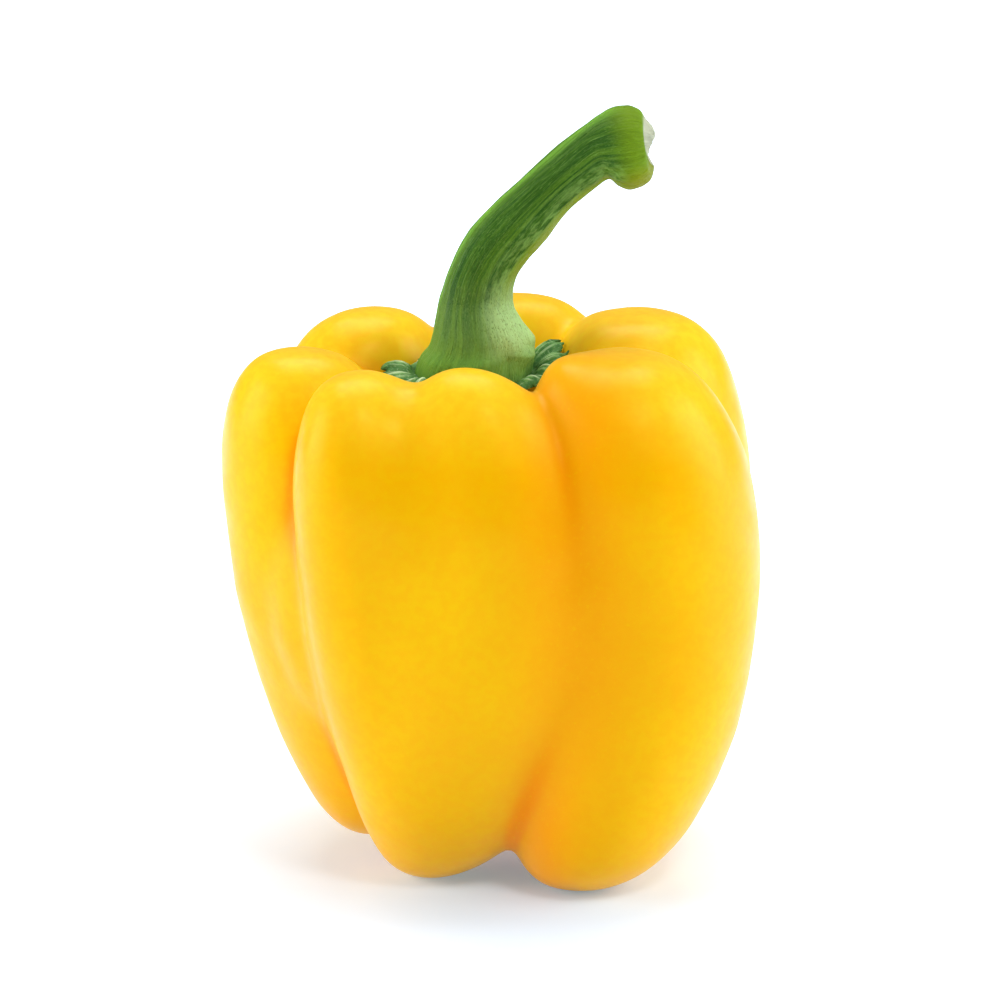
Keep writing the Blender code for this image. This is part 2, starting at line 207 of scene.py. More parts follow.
# Each sepal's bearing round the stem and half width in degrees, its reach from the stem's axis, the
# height of its rolled crest, and how far its tip stands above the seat
Sepal = namedtuple("Sepal", "bearing half_width reach crest lift")
SEPALS = (
    Sepal(29, 12, 0.0148, 0.0003, 0.0046),
    Sepal(9, 9, 0.0139, 0.0005, 0.0034),
    Sepal(-13, 11, 0.0128, 0.0009, 0.0020),
    Sepal(-38, 14, 0.0134, 0.0006, 0.0014),
    Sepal(-68, 17, 0.0114, 0.0006, 0.0004),
    Sepal(-102, 18, 0.0106, 0.0006, 0.0002),
    Sepal(-137, 17, 0.0122, 0.0008, 0.0004),
    Sepal(-162, 13, 0.0152, 0.0006, 0.0010),
    Sepal(173, 12, 0.0138, 0.0007, 0.0017),
    Sepal(146, 14, 0.0110, 0.0006, 0.0003),
    Sepal(98, 20, 0.0110, 0.0006, 0.0002),
    Sepal(58, 17, 0.0124, 0.0008, 0.0010),
)

# The stem: pairs of points on its outer and inner edge, x and z, from its flared base to the cut knob
STEM_FOOT = SEAT_HEIGHT - SEAT_OVERLAP
STEM_EDGES = (
    ((-0.0110, STEM_FOOT), (0.0063, STEM_FOOT + 0.0002)),
    ((-0.0101, 0.0771), (0.0067, 0.0775)),
    ((-0.0090, 0.0788), (0.0063, 0.0790)),
    ((-0.0083, 0.0809), (0.0060, 0.0806)),
    ((-0.0079, 0.0830), (0.0049, 0.0828)),
    ((-0.0074, 0.0856), (0.0038, 0.0850)),
    ((-0.0069, 0.0872), (0.0036, 0.0869)),
    ((-0.0061, 0.0902), (0.0041, 0.0893)),
    ((-0.0045, 0.0938), (0.0055, 0.0918)),
    ((-0.0028, 0.0966), (0.0071, 0.0938)),
    ((-0.0008, 0.0991), (0.0087, 0.0956)),
    ((0.0015, 0.1014), (0.0102, 0.0976)),
    ((0.0050, 0.1044), (0.0121, 0.1000)),
    ((0.0084, 0.1075), (0.0143, 0.1020)),
    ((0.0114, 0.1103), (0.0163, 0.1034)),
    ((0.0141, 0.1126), (0.0181, 0.1045)),
    ((0.0164, 0.1143), (0.0194, 0.1036)),
    ((0.0186, 0.1154), (0.0210, 0.1030)),
    ((0.0209, 0.1156), (0.0229, 0.1035)),
    ((0.0226, 0.1149), (0.0243, 0.1047)),
    ((0.0234, 0.1137), (0.0248, 0.1064)),
)
STEM_BREADTH = 0.92        # its thickness across the bend, as a share of its width in it
STEM_RIBS = 5
STEM_RIB_HEIGHT = 0.05     # as a share of the radius, at mid length
BASE_RIBS = 7
BASE_RIB_HEIGHT = 0.04
BASE_RIB_RUN = 0.28        # the share of the stem's length over which the base ribs fade
GROOVE_STRETCH = (1.0, 1.0, 0.22)  # grooves are drawn out along the stem
GROOVE_SIZE = 0.16         # as shares of the radius, the wider and the finer ones
FINE_GROOVE_SIZE = 0.07
FINE_GROOVE_SHARE = 0.6
SWELL_SIZE = 0.9           # the stem's soft swellings, as a share of the radius
SWELL_HEIGHT = 0.00025
CUT_DISH = 0.0012          # the cut face is dished below and stands out above
DISH_TURN = 2.0            # how quickly the one gives way to the other
DISH_OFFSET = 0.2
CUT_SADDLE = 0.0009        # how far the cut face falls back at the sides of the bend
SADDLE_START = 0.93        # from this share of the stem's length
FRAY_SIZE = 0.12           # the cut's fibres
FRAY_HEIGHT = 0.0004
FRAY_EDGE = 6              # the higher, the closer to its rim they reach
CUT_EDGE = 8               # the same for its white colour
STEM_FOLD = math.radians(60)       # a sharper fold than this in the stem is shaded as an edge
ROD_SEGMENTS = 200
ROD_RINGS = 260
ROD_CUT_RINGS = 14
ROD_LENGTH = 8.0           # the stem's length over its radius

# Lumps and hollows where the ribs run out into the sepals: bearing and its spread in degrees, share
# of the stem's length and its spread, and height as a share of the radius
Lump = namedtuple("Lump", "bearing width place length height")
LUMPS = (
    Lump(8, 24, 0.135, 0.045, 0.09),
    Lump(-22, 16, 0.075, 0.030, 0.14),
    Lump(-50, 16, 0.055, 0.030, -0.10),
    Lump(-75, 18, 0.050, 0.050, 0.04),
    Lump(-160, 30, 0.040, 0.050, 0.05),
    Lump(40, 20, 0.060, 0.040, 0.08),
    Lump(75, 20, 0.060, 0.040, -0.06),
    Lump(120, 24, 0.060, 0.040, 0.06),
)


# Numbers on a mesh

def corner_places(mesh):
    """Every corner's place as an array."""
    places = np.empty(len(mesh.vertices) * 3)
    mesh.vertices.foreach_get("co", places)
    return places.reshape(-1, 3)


def move_corners(mesh, places):
    """Put every corner at its place."""
    mesh.vertices.foreach_set("co", places.ravel())
    mesh.update()


def move_within_box(mesh, places):
    """Put every corner at its place, none of them outside the solid's box."""
    low, high = (np.array(corner) for corner in CAD_BOUNDS)
    move_corners(mesh, np.clip(places, low, high))


def write_attribute(mesh, name, values):
    """Keep a number or a vector for each corner, for the material to read."""
    kind, field = ("FLOAT", "value") if values.ndim == 1 else ("FLOAT_VECTOR", "vector")
    mesh.attributes.new(name, kind, "POINT").data.foreach_set(field, values.astype(np.float32).ravel())


def neighbour_mean(mesh, values):
    """Each corner's mean of its neighbours' values."""
    edges = np.empty(len(mesh.edges) * 2, np.int32)
    mesh.edges.foreach_get("vertices", edges)
    start, end = edges.reshape(-1, 2).T
    here, there = np.concatenate([start, end]), np.concatenate([end, start])
    count = np.bincount(here, minlength=len(mesh.vertices))
    columns = [np.bincount(here, values[there, axis], len(mesh.vertices)) for axis in range(values.shape[1])]
    return np.stack(columns, -1) / count[:, None]


def smooth_step(values, low, high):
    """0 below low, 1 above high and smooth between them."""
    share = np.clip((values - low) / (high - low), 0, 1)
    return share * share * (3 - 2 * share)


def waves(places, size, seed):
    """Soft noise between about -1 and 1, with features of the size given."""
    shift = Vector((seed * 7.31, seed * 3.17, seed * 5.23))
    return np.array([noise.noise(Vector(place) / size + shift) for place in places])


# Pieces

def select_only(item):
    """Make one object the selected and active one."""
    bpy.ops.object.select_all(action="DESELECT")
    item.select_set(True)
    bpy.context.view_layer.objects.active = item


def add_ball(name, segments, rings):
    """Add a unit ball, to be shaped, that is selected on its own."""
    bpy.ops.object.select_all(action="DESELECT")
    bpy.ops.mesh.primitive_uv_sphere_add(segments=segments, ring_count=rings, radius=1.0)
    ball = bpy.context.object
    ball.name = name
    ball.data.name = name
    return ball


def ball_places(ball, rings):
    """Each corner's ring, counted from the top, and its turn about Z."""
    places = corner_places(ball.data)
    slant = np.arctan2(np.hypot(places[:, 0], places[:, 1]), places[:, 2])
    return np.rint(slant / math.pi * rings), np.arctan2(places[:, 1], places[:, 0])


def finish_piece(piece, node, material, sharp):
    """Face the mesh outwards, shade it, give it its material and set it in place of the solid."""
    select_only(piece)
    bpy.ops.object.mode_set(mode="EDIT")
    bpy.ops.mesh.select_all(action="SELECT")
    bpy.ops.mesh.normals_make_consistent(inside=False)
    bpy.ops.object.mode_set(mode="OBJECT")
    bpy.ops.object.shade_smooth_by_angle(angle=sharp)
    piece.data.materials.clear()
    piece.data.materials.append(material)
    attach(piece, "root")
    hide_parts(node)


# The fruit

def lobe_reach(points, lobe):
    """How far out each point lies in a lobe: 1 on its skin, less inside."""
    middle = (lobe.foot[2] + lobe.shoulder[2]) / 2
    half = (lobe.shoulder[2] - lobe.foot[2]) / 2
    climb = (points[:, 2] - middle) / half
    along = np.clip(climb, -SWAY_LIMIT, SWAY_LIMIT)
    offset = []
    for axis in (0, 1):
        lean = (lobe.shoulder[axis] - lobe.foot[axis]) / 2
        bow = (lobe.shoulder[axis] + lobe.foot[axis]) / 2 - lobe.belly[axis]
        offset.append(points[:, axis] - lobe.belly[axis] - lean * along - bow * along ** 2)
    outward = np.array(lobe.belly) / math.hypot(*lobe.belly)
    out = offset[0] * outward[0] + offset[1] * outward[1]
    across = offset[1] * outward[0] - offset[0] * outward[1]
    width = 1 + lobe.flare * along
    spread = np.hypot(out / (lobe.depth * width), across / (lobe.breadth * width))
    squareness = np.where(climb > 0, lobe.crown, lobe.sole)
    return (spread ** squareness + np.abs(climb) ** squareness) ** (1 / squareness)


def core_reach(points):
    """The same measure for the flesh between the lobes."""
    climb = (points[:, 2] - (CORE_LOW + CORE_HIGH) / 2) / ((CORE_HIGH - CORE_LOW) / 2)
    spread = np.hypot(points[:, 0] - CORE_CENTRE[0], points[:, 1] - CORE_CENTRE[1]) / CORE_RADIUS
    return (spread ** CORE_ROUNDNESS + np.abs(climb) ** CORE_ROUNDNESS) ** (1 / CORE_ROUNDNESS)


def flesh(points):
    """Above zero inside the fruit: the lobes and the core, run smoothly together."""
    climb = np.clip((points[:, 2] - CREASE_MID_HEIGHT) / CREASE_REACH, -1, 1)
    sharpest = np.where(climb > 0, CREASE_AT_SHOULDERS, CREASE_AT_FEET)
    sharpness = CREASE_SOFT + (sharpest - CREASE_SOFT) * climb ** 2
    total = np.exp(sharpness * (1 - core_reach(points)))
    softness = CLUSTER_SOFT + (CLUSTER_AT_ENDS - CLUSTER_SOFT) * climb ** CLUSTER_HOLD
    for cluster in CLUSTERS:
        merged = sum(np.exp(softness * (1 - lobe_reach(points, lobe))) for lobe in cluster)
        total = total + merged ** (sharpness / softness)
    return np.log(total) / sharpness


def flesh_slope(points):
    """The flesh's value and its slope along X, Y and Z."""
    here = flesh(points)
    steps = [flesh(points + step) - here for step in np.eye(3) * SLOPE_STEP]
    return here, np.stack(steps, -1) / SLOPE_STEP


def skin_distance(start, directions):
    """Where rays from inside the fruit cross its skin, coming in from outside and then halving."""
    near = np.full(len(directions), OUTSIDE)
    searching = np.ones(len(directions), bool)
    while searching.any():
        near = np.where(searching, near - RAY_STEP, near)
        searching = searching & (flesh(start + directions * near[:, None]) < 0)
    far = near + RAY_STEP
    for _ in range(HALVINGS):
        middle = (near + far) / 2
        inside = flesh(start + directions * middle[:, None]) > 0
        near = np.where(inside, middle, near)
        far = np.where(inside, far, middle)
    return (near + far) / 2


def on_skin(places):
    """Draw points that lie near the skin onto it."""
    for _ in range(SETTLE_ROUNDS):
        value, slope = flesh_slope(places)
        steep = np.maximum((slope ** 2).sum(-1), 1.0)
        places = places - slope * (value / steep)[:, None]
    return places


def hollowness(mesh, places):
    """How far the skin lies inside its own smoothed shape: most in the creases."""
    smooth = places
    for _ in range(HOLLOW_ROUNDS):
        smooth = neighbour_mean(mesh, smooth)
    outward = np.empty(len(places) * 3)
    mesh.vertex_normals.foreach_get("vector", outward)
    return ((smooth - places) * outward.reshape(-1, 3)).sum(-1)


def nearness(places, spot):
    """1 at the middle of a spot, fading to 0 past its reach along X, Y and Z."""
    return np.exp(-(((places - spot.place) / spot.reach) ** 2).sum(-1))


def blush_and_shade_at(places):
    """0 on plain yellow skin, up to 1 in the middle of a deeper orange patch, which is partly riper skin and
    partly painted shade.
    """
    plain = np.ones(len(places))
    for blush_and_shade in BLUSHES_AND_SHADE:
        plain = plain * (1 - blush_and_shade.strength * nearness(places, blush_and_shade))
    return 1 - plain


def mesh_evenly(piece, size):
    """Make the piece's mesh anew, with square faces of about the width given."""
    even = piece.modifiers.new("even mesh", "REMESH")
    even.mode = "VOXEL"
    even.voxel_size = size
    select_only(piece)
    bpy.ops.object.modifier_apply(modifier=even.name)


def weathered(places, depth, waviness):
    """The skin's corners with its dents, its filled hollows and its swellings, none below the floor."""
    _, slope = flesh_slope(places)
    outward = -slope / np.linalg.norm(slope, axis=-1)[:, None]
    dent = waviness * (waves(places, DENT_SIZE, 1) - 1) / 2 + waviness / 4 * waves(places, PIT_SIZE, 2)
    filled = sum(fill.share * nearness(places, fill) for fill in FILLS)
    rise = filled * np.maximum(depth + FILL_BIAS, 0)
    push = sum(nearness(places, part)[:, None] * part.push for part in SWELLINGS)
    moved = places + outward * (dent + rise)[:, None] + push
    moved[:, 2] = np.maximum(moved[:, 2], 0.0)
    return moved


def make_fruit(settings):
    """A ball moved out to the skin, meshed evenly, settled on the skin and waved a little."""
    skin = add_ball("fruit_skin", ROUGH_SEGMENTS, ROUGH_RINGS)
    directions = corner_places(skin.data)
    heart = np.array(HEART)
    move_corners(skin.data, heart + directions * skin_distance(heart, directions)[:, None])
    mesh_evenly(skin, settings.mesh_size)
    mesh = skin.data
    places = on_skin(corner_places(mesh))
    for _ in range(EVENING_ROUNDS):
        places = on_skin(neighbour_mean(mesh, places))
    low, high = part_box("fruit")
    middle = (places.min(0) + places.max(0)) / 2
    shift = np.array([(low.x + high.x) / 2 - middle[0], (low.y + high.y) / 2 - middle[1], 0.0])
    move_corners(mesh, places)
    depth = hollowness(mesh, places)
    crease = smooth_step(depth, CREASE_SHALLOW, CREASE_DEEP)
    in_crown = smooth_step(places[:, 2], *CREASE_IN_CROWN)
    # Orange in the creases: partly the skin's own colour, partly painted shade and bounce light
    write_attribute(mesh, "hollow", crease * (1 - CROWN_FADE * in_crown))
    # Deeper orange patches: partly riper skin, partly painted shade
    write_attribute(mesh, "blush_and_shade", blush_and_shade_at(places))
    move_within_box(mesh, weathered(places, depth, settings.waviness) + shift)
    finish_piece(skin, "fruit", skin_material(settings), SKIN_FOLD)
    skin["shift"] = shift.tolist()


# The calyx

def crown_height(skin, x, y):
    """The height of the fruit's upper side at each point of the plan, the highest within a margin."""
    tree = BVHTree.FromPolygons([corner.co for corner in skin.data.vertices],
                                [face.vertices for face in skin.data.polygons])
    ring = [(0.0, 0.0)]
    for turn in np.arange(GROUND_SAMPLES) * math.tau / GROUND_SAMPLES:
        ring.append((LEAF_MARGIN * math.cos(turn), LEAF_MARGIN * math.sin(turn)))
    highest = []
    for east, north in zip(x, y):
        hits = [tree.ray_cast((east + a, north + b, ABOVE), (0, 0, -1))[0] for a, b in ring]
        highest.append(max(hit.z for hit in hits))
    return np.array(highest)


def sepal_edge(bearings):
    """At each bearing: the reach, the height of the rolled crests, the lift of the tips and the pleats."""
    reach = np.full(len(bearings), WEB_REACH)
    crest = np.zeros(len(bearings))
    lift = np.zeros(len(bearings))
    weight = np.zeros(len(bearings))
    pleat = np.zeros(len(bearings))
    for sepal in SEPALS:
        off = ((bearings - sepal.bearing + 180) % 360 - 180) / sepal.half_width
        reach = np.maximum(reach, sepal.reach * (1 - NOTCH * off ** 2))
        crest = crest + sepal.crest * np.clip(1 - off ** 2, 0, 1)
        near = np.exp(-SEPAL_BLEND * off ** 2)
        lift = lift + near * sepal.lift
        weight = weight + near
        ridges = np.cos(math.pi * off / 2) * np.cos(PLEAT_WAVES * math.pi * off) ** 2
        pleat = pleat + np.where(np.abs(off) < 1, ridges, 0.0)
    return reach, crest, lift / weight, pleat


def make_calyx(settings, skin, shift):
    """A flattened ball whose rings run from the seat out to the sepals' tips and back underneath."""
    half = LEAF_SEAT_RINGS + LEAF_RINGS
    leaf = add_ball("calyx_sepals", LEAF_SEGMENTS, 2 * half)
    mesh = leaf.data
    ring, turn = ball_places(leaf, 2 * half)
    above = ring <= half
    step = np.where(above, ring, 2 * half - ring)
    inner = np.minimum(step / LEAF_SEAT_RINGS, 1)
    out = np.clip((step - LEAF_SEAT_RINGS) / LEAF_RINGS, 0, 1)
    reach, crest, lift, pleat = sepal_edge(np.degrees(turn))
    rim = np.stack([np.cos(turn), np.sin(turn), np.zeros(len(turn))], -1)
    ragged = waves(rim, RIM_WAVE, 5) + RIM_TOOTH_SHARE * waves(rim, RIM_TOOTH, 6)
    reach = reach * (1 + settings.raggedness * ragged)
    radius = SEAT_RADIUS * inner + (reach - SEAT_RADIUS) * out
    x = CALYX_CENTRE[0] + radius * np.cos(turn) + shift[0]
    y = CALYX_CENTRE[1] + radius * np.sin(turn) + shift[1]
    level = SEAT_HEIGHT - PLATE_THICKNESS + lift * out ** LIFT_CURVE
    plan = np.stack([x, y, np.zeros(len(x))], -1)
    ripple = RIPPLE_HEIGHT * out * waves(plan, RIPPLE_SIZE, 7)
    under = np.maximum(level + ripple, crown_height(skin, x, y) + LEAF_CLEARANCE)
    edge = np.sqrt(1 - out ** EDGE_ROUNDNESS)
    roll = crest * np.sin(math.pi * out ** ROLL_CURVE) ** ROLL_FULLNESS
    folds = pleat * np.sin(math.pi * out ** PLEAT_CURVE)
    thickness = (PLATE_THICKNESS + (SEPAL_THICKNESS - PLATE_THICKNESS) * out) * edge
    raised = roll + settings.pleat_depth * folds + ROUGH_HEIGHT * waves(plan, ROUGH_SIZE, 8)
    over = np.where(out > 0, under + thickness + raised * edge, SEAT_HEIGHT)
    z = np.where(above, over, np.minimum(under, over))
    write_attribute(mesh, "crest", np.where(above, folds, 0.0))
    write_attribute(mesh, "spread", np.stack([turn, out, np.zeros(len(out))], -1))
    move_within_box(mesh, np.stack([x, y, z], -1))
    finish_piece(leaf, "calyx", calyx_material(settings), SKIN_FOLD)


# The stem

def stem_edges(share):
    """The stem's two edges at shares of its length, on smooth curves through the pairs given."""
    edges = np.array(STEM_EDGES)
    last = len(edges) - 1
    place = share * last
    first = np.minimum(place.astype(int), last - 1)
    rest = (place - first)[:, None, None]
    before, start = edges[np.maximum(first - 1, 0)], edges[first]
    end, after = edges[first + 1], edges[np.minimum(first + 2, last)]
    return 0.5 * (2 * start + (end - before) * rest
                  + (2 * before - 5 * start + 4 * end - after) * rest ** 2
                  + (3 * start - before - 3 * end + after) * rest ** 3)


def stem_ribs(turn, share):
    """The stem's ribs and lumps, as a share of its radius: 1 where there are none."""
    at_base = np.clip(1 - share / BASE_RIB_RUN, 0, 1)
    ribs = (1 + STEM_RIB_HEIGHT * (1 - at_base) * np.sin(math.pi * share) * np.sin(STEM_RIBS * turn)
            + BASE_RIB_HEIGHT * at_base * np.sin(BASE_RIBS * turn))
    for lump in LUMPS:
        off = (np.degrees(turn) - lump.bearing + 180) % 360 - 180
        fall = (off / lump.width) ** 2 + ((share - lump.place) / lump.length) ** 2
        ribs = ribs + lump.height * np.exp(-fall)
    return ribs


def make_stem(settings, shift):
    """A ball drawn out between the stem's edges, ribbed and striated, with a dished and frayed cut."""
    rings = 2 * ROD_CUT_RINGS + ROD_RINGS
    rod = add_ball("stem_stalk", ROD_SEGMENTS, rings)
    mesh = rod.data
    ring, turn = ball_places(rod, rings)
    share = np.clip(1 - (ring - ROD_CUT_RINGS) / ROD_RINGS, 0, 1)
    spread = np.minimum(np.minimum(ring, rings - ring) / ROD_CUT_RINGS, 1)
    edges = stem_edges(share)
    middle = edges.mean(axis=1)
    half = (edges[:, 1] - edges[:, 0]) / 2
    width = np.hypot(half[:, 0], half[:, 1])
    places = np.stack([np.cos(turn), np.sin(turn), share * ROD_LENGTH], -1)
    stretched = places * GROOVE_STRETCH
    fine = FINE_GROOVE_SHARE * waves(stretched, FINE_GROOVE_SIZE, 12)
    grooves = settings.striation * (waves(stretched, GROOVE_SIZE, 11) + fine)
    swell = SWELL_HEIGHT * waves(places, SWELL_SIZE, 13)
    reach = spread * stem_ribs(turn, share) + (grooves + swell) / width * spread
    at_cut = ring <= ROD_CUT_RINGS
    saddle = CUT_SADDLE * np.sin(turn) ** 2 * smooth_step(share, SADDLE_START, 1.0) * spread ** 2
    face = np.stack([np.cos(turn) * spread, np.sin(turn) * spread, np.zeros(len(turn))], -1)
    frayed = FRAY_HEIGHT * waves(face, FRAY_SIZE, 14) * (1 - spread ** FRAY_EDGE)
    lower = np.clip(DISH_TURN * np.cos(turn) * spread - DISH_OFFSET, -1, 1)
    dish = np.where(at_cut, CUT_DISH * lower * (1 - spread ** 2) + frayed, 0.0)
    x = middle[:, 0] + half[:, 0] * np.cos(turn) * reach - dish - saddle
    y = CALYX_CENTRE[1] + width * STEM_BREADTH * np.sin(turn) * reach
    z = middle[:, 1] + half[:, 1] * np.cos(turn) * reach
    write_attribute(mesh, "round", places)
    write_attribute(mesh, "cut", np.where(at_cut, 1 - spread ** CUT_EDGE, 0.0))
    move_within_box(mesh, np.stack([x, y, z], -1) + shift)
    finish_piece(rod, "stem", stem_material(settings), STEM_FOLD)


# Materials

# How many features of each pattern on the skin and on the sepals lie in a metre
SKIN_PATCHES = 42.0
SKIN_MOTTLE = 700.0
SKIN_SPECKLE = 2600.0
SKIN_WAX = 260.0
SKIN_PORES = 1500.0
LEAF_BLOTCHES = 500.0
LEAF_DOWN = 2600.0
# The sepals' streaks round the stem and outwards, and the stem's patterns across it and along it
LEAF_STREAKS = (60.0, 1.2, 1.0)
STEM_STRIPES = (4.5, 4.5, 0.20)
STEM_FIBRES = (34.0, 34.0, 1.6)
STEM_MOTTLE = (7.0, 7.0, 4.0)
STEM_DOWN = (46.0, 46.0, 14.0)
# The depth of the finest relief, in metres
PORE_DEPTH = 0.00004
LEAF_RELIEF = 0.00018
STEM_RELIEF = 0.00034


def socket(sockets, identifier):
    """The socket with the identifier, where several have one name."""
    return next(found for found in sockets if found.identifier == identifier)


def add_node(tree, kind, values=(), wires=(), **options):
    """Add a node, set its options and its inputs' values, and wire other nodes' outputs to its inputs."""
    made = tree.nodes.new(kind)
    for name, value in options.items():
        setattr(made, name, value)
    for name, value in dict(values).items():
        made.inputs[name].default_value = value
    for name, source in dict(wires).items():
        tree.links.new(source, made.inputs[name])
    return made


def mix_colour(tree, share, below, above):
    """Lay one colour over another by a share. Each is a socket or a plain value."""
    made = tree.nodes.new("ShaderNodeMix")
    made.data_type = "RGBA"
    for identifier, value in (("Factor_Float", share), ("A_Color", below), ("B_Color", above)):
        target = socket(made.inputs, identifier)
        if isinstance(value, bpy.types.NodeSocket):
            tree.links.new(value, target)
        elif identifier == "Factor_Float":
            target.default_value = value
        else:
            target.default_value = (*value, 1.0)
    return socket(made.outputs, "Result_Color")


def math_node(tree, operation, first, second):
    """The result of a sum, a product or the like of two sockets or numbers."""
    made = tree.nodes.new("ShaderNodeMath")
    made.operation = operation
    for target, value in zip(made.inputs, (first, second)):
        if isinstance(value, bpy.types.NodeSocket):
            tree.links.new(value, target)
        else:
            target.default_value = value
    return made.outputs[0]


def fade(tree, value, low, high, to_low=0.0, to_high=1.0):
    """A smooth climb from to_low where the value is low to to_high where it is high."""
    made = add_node(tree, "ShaderNodeMapRange", interpolation_type="SMOOTHSTEP",
                    values={"From Min": low, "From Max": high, "To Min": to_low, "To Max": to_high},
                    wires={"Value": value})
    return made.outputs["Result"]


def grain(tree, vector, scale, detail=2.0, distortion=0.0):
    """Noise over a vector stretched by the scale, which is one number or three."""
    stretch = scale if isinstance(scale, tuple) else (scale,) * 3
    spread = add_node(tree, "ShaderNodeMapping", values={"Scale": stretch}, wires={"Vector": vector})
    made = add_node(tree, "ShaderNodeTexNoise", wires={"Vector": spread.outputs[0]},
                    values={"Scale": 1.0, "Detail": detail, "Distortion": distortion})
    return made.outputs["Fac"]


def bump(tree, height, distance, strength=1.0):
    """The normal that a height gives, over a distance in metres."""
    made = add_node(tree, "ShaderNodeBump", values={"Strength": strength, "Distance": distance},
                    wires={"Height": height})
    return made.outputs["Normal"]


def attribute(tree, name):
    """The node that reads an attribute of the mesh."""
    return add_node(tree, "ShaderNodeAttribute", attribute_name=name)


def new_material(name):
    """An empty node material and its shader."""
    material = bpy.data.materials.new(name)
    material.use_nodes = True
    return material, material.node_tree, material.node_tree.nodes["Principled BSDF"]


def set_shader(shader, **values):
    """Set the shader's own sockets, named with underscores for spaces."""
    for name, value in values.items():
        shader.inputs[name.replace("_", " ")].default_value = value


def skin_material(settings):
    """Waxy yellow skin with painted top light paling the crown, golden between its brighter patches, orange
    in the creases that is partly its own colour and partly painted shade and bounce light, and deeper orange
    patches that are partly riper skin and partly painted shade.
    """
    material, tree, shader = new_material("yellow skin")
    place = add_node(tree, "ShaderNodeTexCoord").outputs["Object"]
    hollow = attribute(tree, "hollow").outputs["Fac"]
    height = add_node(tree, "ShaderNodeSeparateXYZ", wires={"Vector": place}).outputs["Z"]
    patches = fade(tree, grain(tree, place, SKIN_PATCHES, 1.5), 0.38, 0.66)
    colour = mix_colour(tree, patches, settings.skin_colour, settings.pale_colour)
    # Painted top light: the skin pales towards the tops of the lobes
    crown_light_share = fade(tree, height, *CROWN_HEIGHTS, 0.0, CROWN_PAINTED_LIGHT)
    colour = mix_colour(tree, crown_light_share, colour, settings.painted_crown_light_colour)
    # Deeper orange patches: partly riper skin, partly painted shade
    colour = mix_colour(tree, attribute(tree, "blush_and_shade").outputs["Fac"], colour, settings.blush_and_shade_colour)
    # Orange in the creases: partly the skin's own colour, partly painted shade and bounce light
    colour = mix_colour(tree, fade(tree, hollow, 0.0, 1.0, 0.0, 0.8), colour, settings.crease_pigment_and_shade_colour)
    mottle = fade(tree, grain(tree, place, SKIN_MOTTLE, 4.0), 0.32, 0.68, 0.0, 0.22)
    colour = mix_colour(tree, mottle, colour, settings.blush_and_shade_colour)
    speckle = fade(tree, grain(tree, place, SKIN_SPECKLE, 2.0), 0.58, 0.74, 0.0, 0.30)
    colour = mix_colour(tree, speckle, colour, settings.pale_colour)
    tree.links.new(colour, shader.inputs["Base Color"])
    rough = fade(tree, grain(tree, place, SKIN_WAX, 3.0), 0.3, 0.7, settings.roughness - 0.04,
                 settings.roughness + 0.05)
    tree.links.new(rough, shader.inputs["Roughness"])
    pores = grain(tree, place, SKIN_PORES, 2.0)
    tree.links.new(bump(tree, pores, PORE_DEPTH, 0.35), shader.inputs["Normal"])
    set_shader(shader, Specular_IOR_Level=0.33, Specular_Tint=(1.0, 0.70, 0.16, 1.0))
    return material


def calyx_material(settings):
    """Matt green leaf with pale, finely striated crests, and painted shade in its folds and underneath."""
    material, tree, shader = new_material("calyx green")
    place = add_node(tree, "ShaderNodeTexCoord").outputs["Object"]
    crest = attribute(tree, "crest").outputs["Fac"]
    spread = attribute(tree, "spread").outputs["Vector"]
    streaks = grain(tree, spread, LEAF_STREAKS, 3.0)
    blotches = fade(tree, grain(tree, place, LEAF_BLOTCHES, 3.0), 0.35, 0.65)
    down = grain(tree, place, LEAF_DOWN, 3.0)
    colour = mix_colour(tree, blotches, settings.leaf_colour, settings.shade_colour)
    # Painted shade: darker between the pleats, near the seat and on the underside
    colour = mix_colour(tree, fade(tree, crest, 0.35, 0.0, 0.0, 0.7), colour, settings.shade_colour)
    pale = math_node(tree, "MULTIPLY", fade(tree, crest, 0.25, 0.9),
                     fade(tree, streaks, 0.36, 0.58, 0.25, 1.0))
    colour = mix_colour(tree, pale, colour, settings.crest_colour)
    colour = mix_colour(tree, fade(tree, down, 0.55, 0.75, 0.0, 0.4), colour, settings.crest_colour)
    tree.links.new(colour, shader.inputs["Base Color"])
    relief = math_node(tree, "ADD", streaks, math_node(tree, "MULTIPLY", down, 0.5))
    tree.links.new(bump(tree, relief, LEAF_RELIEF, 0.8), shader.inputs["Normal"])
    tree.links.new(fade(tree, blotches, 0.0, 1.0, 0.5, 0.68), shader.inputs["Roughness"])
    set_shader(shader, Specular_IOR_Level=0.25, Specular_Tint=(0.65, 0.9, 0.6, 1.0))
    return material


